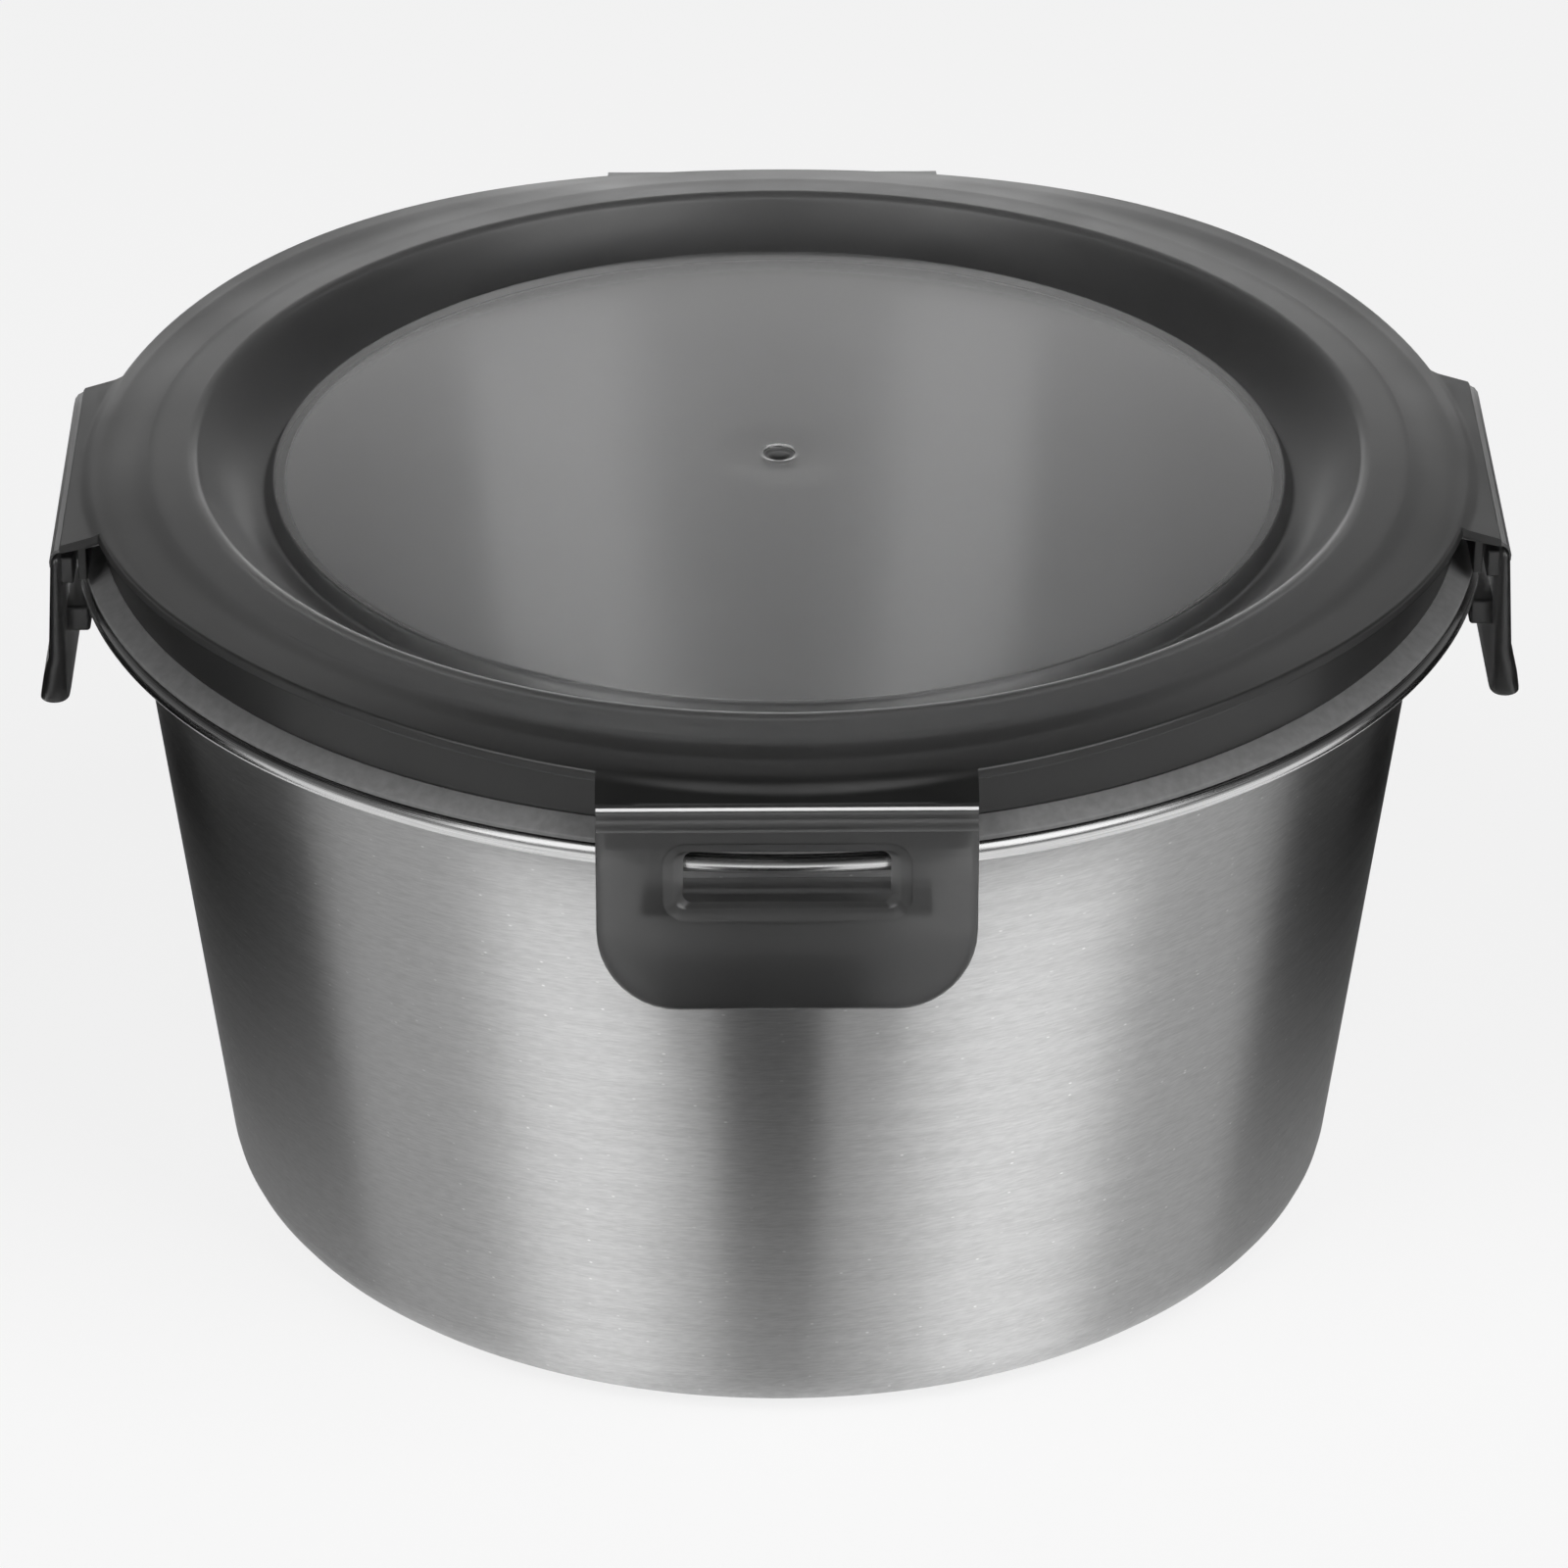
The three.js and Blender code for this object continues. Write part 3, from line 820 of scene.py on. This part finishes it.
class Shading:
    """Node tree of a material or the world, with short calls to add nodes and join them."""

    def __init__(self, owner):
        owner.use_nodes = True
        self.nodes = owner.node_tree.nodes
        self.link = owner.node_tree.links.new

    def add(self, kind, **values):
        """Adds a node and sets its properties, or its input sockets where a name is one of them."""
        node = self.nodes.new("ShaderNode" + kind)
        for name, value in values.items():
            if hasattr(node, name):
                setattr(node, name, value)
            else:
                node.inputs[name.replace("_", " ")].default_value = value
        return node

    def maths(self, operation, *values):
        """Maths on values that are sockets or numbers."""
        node = self.add("Math", operation=operation)
        for value, socket in zip(values, node.inputs):
            if isinstance(value, (int, float)):
                socket.default_value = value
            else:
                self.link(value, socket)
        return node.outputs["Value"]

    def scaled(self, value, start=0.0, end=1.0, low=0.0, high=1.0, interpolation="LINEAR"):
        """Value brought from the range start to end into the range low to high, and held there."""
        node = self.add("MapRange", interpolation_type=interpolation,
                        From_Min=start, From_Max=end, To_Min=low, To_Max=high)
        self.link(value, node.inputs["Value"])
        return node.outputs["Result"]

    def varied(self, noise, low, high):
        """Noise brought into the range low to high."""
        return self.scaled(noise, start=NOISE_LOW, end=NOISE_HIGH, low=low, high=high)

    def grey(self, value, socket):
        """Feeds one value to all three channels of a colour socket."""
        colour = self.add("CombineColor")
        for channel in ("Red", "Green", "Blue"):
            self.link(value, colour.inputs[channel])
        self.link(colour.outputs["Color"], socket)

    def flat(self, across, up):
        """Vector with two parts."""
        vector = self.add("CombineXYZ")
        self.link(across, vector.inputs["X"])
        self.link(up, vector.inputs["Y"])
        return vector.outputs["Vector"]

    def polar(self, kind):
        """X, Y and Z of a place or direction, and its distance from the Z axis."""
        place = self.add("TexCoord")
        split = self.add("SeparateXYZ")
        self.link(place.outputs[kind], split.inputs["Vector"])
        x, y, z = split.outputs
        radius = self.add("VectorMath", operation="LENGTH")
        self.link(self.flat(x, y), radius.inputs[0])
        return x, y, z, radius.outputs["Value"]

    def noise(self, place, **values):
        """Noise at a place."""
        node = self.add("TexNoise", **values)
        self.link(place, node.inputs["Vector"])
        return node.outputs["Fac"]

    def bump(self, height, socket):
        """Fine relief from a height."""
        node = self.add("Bump", Strength=BRUSH_STRENGTH, Distance=BRUSH_DEPTH * MM)
        self.link(height, node.inputs["Height"])
        self.link(node.outputs["Normal"], socket)


def new_material(name, **values):
    """Material with its node tree and the sockets of its shader, some of them set to constant values."""
    material = bpy.data.materials.new(name)
    tree = Shading(material)
    sockets = tree.nodes["Principled BSDF"].inputs
    for socket, value in values.items():
        sockets[socket.replace("_", " ")].default_value = value
    return material, tree, sockets


def grey_colour(level):
    return level, level, level, 1


def round_bowl(tree, reach):
    """Distances round the axis and along the bowl's profile, and the height."""
    x, y, z, radius = tree.polar("Object")
    angle = tree.maths("ARCTAN2", x, tree.maths("MULTIPLY", y, -1.0))
    return tree.maths("MULTIPLY", angle, reach * MM), tree.maths("SUBTRACT", z, radius), z


def cells(tree, around, along, length, width):
    """Place on the bowl in steps of a length round it and a width along it."""
    steps_around = tree.maths("MULTIPLY", around, 1 / (length * MM))
    steps_along = tree.maths("MULTIPLY", along, 1 / (width * MM))
    return tree.flat(steps_around, steps_along)


def brush_strokes(tree, around, along, length, width, lean=0.0):
    """Noise drawn out into strokes of a length and width that lean by a slope."""
    leaning = tree.maths("MULTIPLY_ADD", around, lean, along)
    place = cells(tree, around, leaning, length, width)
    return tree.noise(place, noise_dimensions="2D", Scale=1.0, Detail=2.0, Roughness=0.55)


def rare_specks(tree, around, along):
    """Scattered tiny glints of the brushed sheet."""
    specks = tree.add("TexVoronoi", voronoi_dimensions="2D", Scale=1.0, Randomness=1.0)
    tree.link(cells(tree, around, along, length=4.0, width=1.7), specks.inputs["Vector"])
    glint = tree.scaled(specks.outputs["Distance"], start=0.03, end=0.08, low=0.3, high=0.0)
    chance = tree.add("SeparateColor")
    tree.link(specks.outputs["Color"], chance.inputs["Color"])
    return tree.maths("MULTIPLY", glint, tree.maths("POWER", chance.outputs["Red"], 5.0))


def brushed_steel(name, low, high):
    """Steel brushed round the axis, so that a light draws out into an upright streak."""
    material, tree, shader = new_material(name, Metallic=1.0, Anisotropic=1.0, Anisotropic_Rotation=0.25)
    tangent = tree.add("Tangent", direction_type="RADIAL", axis="Z")
    tree.link(tangent.outputs["Tangent"], shader["Tangent"])
    around, along, _ = round_bowl(tree, MOUTH)
    fine = brush_strokes(tree, around, along, length=3.0, width=0.22)
    leaning = brush_strokes(tree, around, along, length=2.2, width=0.3, lean=-0.1)
    broad = brush_strokes(tree, around, along, length=30.0, width=1.3)
    both = tree.maths("ADD", fine, leaning)
    tone = tree.scaled(tree.maths("ADD", both, broad), start=1.1, end=1.9, low=low, high=high)
    tree.grey(tree.maths("ADD", tone, rare_specks(tree, around, along)), shader["Base Color"])
    tree.link(tree.varied(broad, low=0.485, high=0.515), shader["Roughness"])
    tree.bump(both, shader["Normal"])
    return material


def rolled_steel():
    """Smoother steel of the rolled rim, with a few fine lines round it. Its tone is lighter than the
    bowl's, partly for its polish and partly as painted highlight, and its upper side is painted darker, a
    painted shade under the gasket and lid.
    """
    material, tree, shader = new_material("rolled_steel", Metallic=1.0)
    around, along, height = round_bowl(tree, RIM)
    lines = brush_strokes(tree, around, along, length=14.0, width=0.2)
    # Lighter than the bowl's steel: partly polish, partly painted highlight
    tone = tree.varied(lines, low=0.7, high=0.88)
    # Painted shade: the bead's upper side is painted darker
    painted_top_shade = tree.scaled(
        height, start=(BEAD_MIDDLE + 0.2) * MM, end=(BEAD_MIDDLE + 0.6) * MM, low=1.0, high=0.35)
    tree.grey(tree.maths("MULTIPLY", tone, painted_top_shade), shader["Base Color"])
    tree.link(tree.varied(lines, low=0.16, high=0.3), shader["Roughness"])
    tree.bump(lines, shader["Normal"])
    return material


def smoky_plastic(name, density, **values):
    """Grey see-through moulding: thicker walls look darker, and its gloss is slightly uneven."""
    material, tree, shader = new_material(name, IOR=PLASTIC_IOR, Coat_Roughness=0.25, **values)
    smoke = tree.add("VolumeAbsorption", Color=grey_colour(0.0), Density=density)
    tree.link(smoke.outputs["Volume"], tree.nodes["Material Output"].inputs["Volume"])
    place = tree.add("TexCoord").outputs["Object"]
    haze = tree.noise(place, Scale=60.0, Detail=5.0)
    uneven = tree.varied(haze, low=0.85, high=1.15)
    return material, tree, shader, uneven


def lid_plastic():
    """The lid's plastic: clear in the panel, satin and darker elsewhere, with painted shade darkening it
    further out to the flange's edge and most over the ears, and in the gate pit.
    """
    material, tree, shader, uneven = smoky_plastic(
        "smoky_plastic", density=70, Transmission_Weight=0.95, Coat_Weight=0.12)
    radius = tree.polar("Object")[-1]
    ring = tree.scaled(radius, start=(PANEL - 0.5) * MM, end=(PANEL - 0.1) * MM)
    # The gate mark is satin, and its value past 1 paints shade into the pit, darker than the ring
    gate = tree.scaled(radius, start=GATE_PIT * MM, end=(GATE_PIT - 0.2) * MM, high=MARK_PAINTED_SHADE)
    satin = tree.maths("MAXIMUM", ring, gate)
    tint_and_shade = tree.scaled(satin, end=MARK_PAINTED_SHADE, low=0.95, high=0.1)
    # Painted shade: darker from just outside the raised ring out to the flange's edge, and darkest over the
    # ears
    ear = tree.scaled(radius, start=(RING + 1.0) * MM, end=(FLANGE + 1.0) * MM, low=1.0, high=0.2)
    tree.grey(tree.maths("MULTIPLY", tint_and_shade, ear), shader["Base Color"])
    rough = tree.scaled(satin, low=CLEAR_ROUGHNESS, high=SATIN_ROUGHNESS)
    tree.link(tree.maths("MULTIPLY", rough, uneven), shader["Roughness"])
    return material


def latch_plastic():
    """The latches' plastic: satin, under a glossy skin on the outer face."""
    material, tree, shader, uneven = smoky_plastic(
        "smoky_plastic_latch", density=500, Transmission_Weight=1.0, Base_Color=grey_colour(LATCH_GREY))
    place = tree.add("TexCoord")
    facing_out = tree.add("VectorMath", operation="DOT_PRODUCT")
    tree.link(place.outputs["Normal"], facing_out.inputs[0])
    tree.link(place.outputs["Object"], facing_out.inputs[1])
    skin = tree.scaled(facing_out.outputs["Value"], start=-SKIN_EDGE, end=SKIN_EDGE)
    tree.link(skin, shader["Coat Weight"])
    tree.link(tree.maths("MULTIPLY", uneven, LATCH_ROUGHNESS), shader["Roughness"])
    return material


def hinge_plastic():
    """The latches' plastic in a thin web, painted white and opaque where a painted highlight runs along it.
    """
    material, tree, shader = new_material("smoky_plastic_hinge", Roughness=0.3, IOR=PLASTIC_IOR)
    # Painted highlight: the web turns white and stops letting light through where it is painted
    highlight_share = tree.add("Attribute", attribute_name="painted_highlight").outputs["Fac"]
    tree.link(tree.scaled(highlight_share, low=1.0, high=0.0), shader["Transmission Weight"])
    tree.grey(tree.scaled(highlight_share, low=0.3, high=0.85), shader["Base Color"])
    return material


def silicone():
    """Dull grey silicone with a fine mottle."""
    material, tree, shader = new_material("silicone", Specular_IOR_Level=0.4)
    place = tree.add("TexCoord").outputs["Object"]
    mottle = tree.noise(place, Scale=900.0, Detail=4.0)
    tree.grey(tree.varied(mottle, low=0.16, high=0.2), shader["Base Color"])
    tree.link(tree.varied(mottle, low=0.4, high=0.55), shader["Roughness"])
    return material


def dress(piece, slot, materials, *nodes):
    """Gives a piece its materials and puts it in the place of its CAD nodes."""
    piece.data.materials.clear()
    for material in materials:
        piece.data.materials.append(material)
    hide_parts(*nodes)


def finish_bowl(bowl):
    """Gives the outside, the inside and the rolled rim of the bowl their own material, in that order. The
    inside and the faces looking up take a lighter copy of the outside's steel, painted light for the light
    that reaches into the bowl.
    """
    for face in bowl.data.polygons:
        radius = math.hypot(face.center.x, face.center.y) / MM
        height = face.center.z / MM
        looks_in = face.normal.x * face.center.x + face.normal.y * face.center.y < 0
        if height > LEDGE - SHEET - RIM_BEND and radius > MOUTH - SHEET:
            face.material_index = 2
        # Inside and up-facing faces take the lighter steel, which is painted light
        elif looks_in or face.normal.z > UP_FACING:
            face.material_index = 1


def make_container():
    """Makes each piece, gives it its materials, hides the CAD parts it stands in for, and attaches all but
    the webs to the body they move with.
    """
    bowl = make_bowl()
    outside = brushed_steel("brushed_steel", low=0.6, high=0.72)
    # Lighter copy of the same steel, painted light inside the bowl
    inside = brushed_steel("lighter_painted_steel", low=0.7, high=0.81)
    dress(bowl, "steel", (outside, inside, rolled_steel()), "bowl")
    finish_bowl(bowl)
    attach(bowl, "bowl")

    lid = make_lid()
    dress(lid, "smoky_plastic", (lid_plastic(),), "lid")
    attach(lid, "lid")

    gasket = make_gasket()
    dress(gasket, "silicone", (silicone(),), "gasket")
    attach(gasket, "lid")

    flap_plastic = latch_plastic()
    web_plastic = hinge_plastic()
    for turn, side in enumerate(SIDES):
        flap = make_flap(turn)
        dress(flap, "smoky_plastic", (flap_plastic,), f"latch_{side}", f"catch_{side}")
        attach(flap, f"latch_{side}")
        web = make_web(turn)
        dress(web, "smoky_plastic", (web_plastic,), f"hinge_{side}")
        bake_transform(web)


def make_floor():
    """White sweep: what the camera, the metal and the plastic see of the floor is lifted towards white."""
    build = bmesh.new()
    bmesh.ops.create_grid(build, x_segments=1, y_segments=1, size=FLOOR_SIZE / 2)
    floor = new_piece("floor", build)
    material, tree, _ = new_material(
        "floor_paper", Base_Color=grey_colour(FLOOR_GREY), Roughness=0.9, Specular_IOR_Level=0.0)
    path = tree.add("LightPath").outputs
    mirrored = tree.maths("MAXIMUM", path["Is Glossy Ray"], path["Is Transmission Ray"])
    mirrored_share = tree.maths("MULTIPLY", mirrored, WHITE_MIRRORED)
    seen_share = tree.maths("MULTIPLY", path["Is Camera Ray"], WHITE_SEEN)
    white = tree.add("Emission", Strength=1.0)
    lifted = tree.add("MixShader")
    tree.link(tree.maths("MAXIMUM", seen_share, mirrored_share), lifted.inputs["Fac"])
    tree.link(tree.nodes["Principled BSDF"].outputs["BSDF"], lifted.inputs[1])
    tree.link(white.outputs["Emission"], lifted.inputs[2])
    tree.link(lifted.outputs["Shader"], tree.nodes["Material Output"].inputs["Surface"])
    floor.data.materials.append(material)


def level_direction(azimuth):
    """Level direction at an angle in degrees from the front, towards the right."""
    return outward(math.radians(azimuth)).to_3d()


def softbox(name, azimuth, elevation, width, height, power, distance=1.3):
    """Rectangular light aimed at the container. Azimuth is from the front, elevation from the floor."""
    light = bpy.data.lights.new(name, "AREA")
    light.shape = "RECTANGLE"
    light.size = width
    light.size_y = height
    light.energy = power
    lamp = new_object(name, light)
    rise = math.radians(elevation)
    target = Vector((0, 0, AIM_HEIGHT))
    direction = level_direction(azimuth) * math.cos(rise) + Vector((0, 0, math.sin(rise)))
    lamp.location = target + distance * direction
    lamp.rotation_euler = (-direction).to_track_quat("-Z", "Y").to_euler()


def flag(name, azimuth, distance, width, height):
    """Black card that stands beside the container, unseen by the camera, and shows only in its gloss."""
    middle = level_direction(azimuth) * distance
    across = level_direction(azimuth + 90) * width / 2
    up = Vector((0, 0, height))
    corners = [middle - across, middle + across, middle + across + up, middle - across + up]
    mesh = bpy.data.meshes.new(name)
    mesh.from_pydata(corners, [], [(0, 1, 2, 3)])
    material, _, _ = new_material(name, Base_Color=grey_colour(CARD_GREY), Specular_IOR_Level=0.0)
    mesh.materials.append(material)
    card = new_object(name, mesh)
    card.visible_camera = False
    card.visible_diffuse = False
    card.visible_transmission = False
    card.visible_shadow = False


def make_world():
    """Room that is bright low down behind the container, and dim above and in front."""
    world = bpy.data.worlds.new("studio")
    bpy.context.scene.world = world
    tree = Shading(world)
    _, y, z, radius = tree.polar("Generated")
    fade = tree.scaled(z, end=SKY_FROM, low=BACKDROP_LEVEL, high=SKY_LEVEL, interpolation="SMOOTHSTEP")
    facing_back = tree.maths("DIVIDE", y, radius)
    behind = tree.scaled(
        facing_back, start=FRONT_FROM, end=BACK_FROM, low=FRONT_SHARE, interpolation="SMOOTHSTEP")
    background = tree.nodes["Background"].inputs
    background["Color"].default_value = grey_colour(1.0)
    tree.link(tree.maths("MULTIPLY", fade, behind), background["Strength"])


def make_camera():
    """Camera at the photograph's viewing angle."""
    lens = bpy.data.cameras.new("camera")
    lens.sensor_width = SENSOR
    lens.lens = FOCAL_PIXELS * SENSOR / FRAME_PIXELS
    lens.shift_x = CAMERA_SHIFT
    lens.clip_start = CAMERA_NEAR
    camera = new_object("camera", lens)
    camera.location = CAMERA_PLACE * MM
    camera.rotation_euler = (QUARTER - CAMERA_FALL, 0, CAMERA_TURN)
    bpy.context.scene.camera = camera


make_container()
make_floor()
softbox("light_left", azimuth=-39, elevation=44, width=0.58, height=1.1, power=7.0)
softbox("light_left_side", azimuth=-68, elevation=25, width=0.7, height=1.0, power=0.35)
softbox("light_right", azimuth=46, elevation=45, width=0.7, height=1.15, power=9.2)
softbox("light_right_side", azimuth=74, elevation=25, width=0.7, height=1.0, power=0.35)
softbox("light_back", azimuth=180, elevation=8, width=0.9, height=0.25, power=0.5)
softbox("light_top", azimuth=180, elevation=85, width=1.6, height=1.6, power=0.4, distance=1.4)
flag("flag_front", azimuth=-1.5, distance=0.125, width=0.029, height=0.078)
flag("flag_left", azimuth=-94, distance=0.13, width=0.14, height=0.09)
flag("flag_right", azimuth=98, distance=0.13, width=0.13, height=0.09)
make_world()
make_camera()
bpy.context.scene.view_settings.view_transform = "Standard"
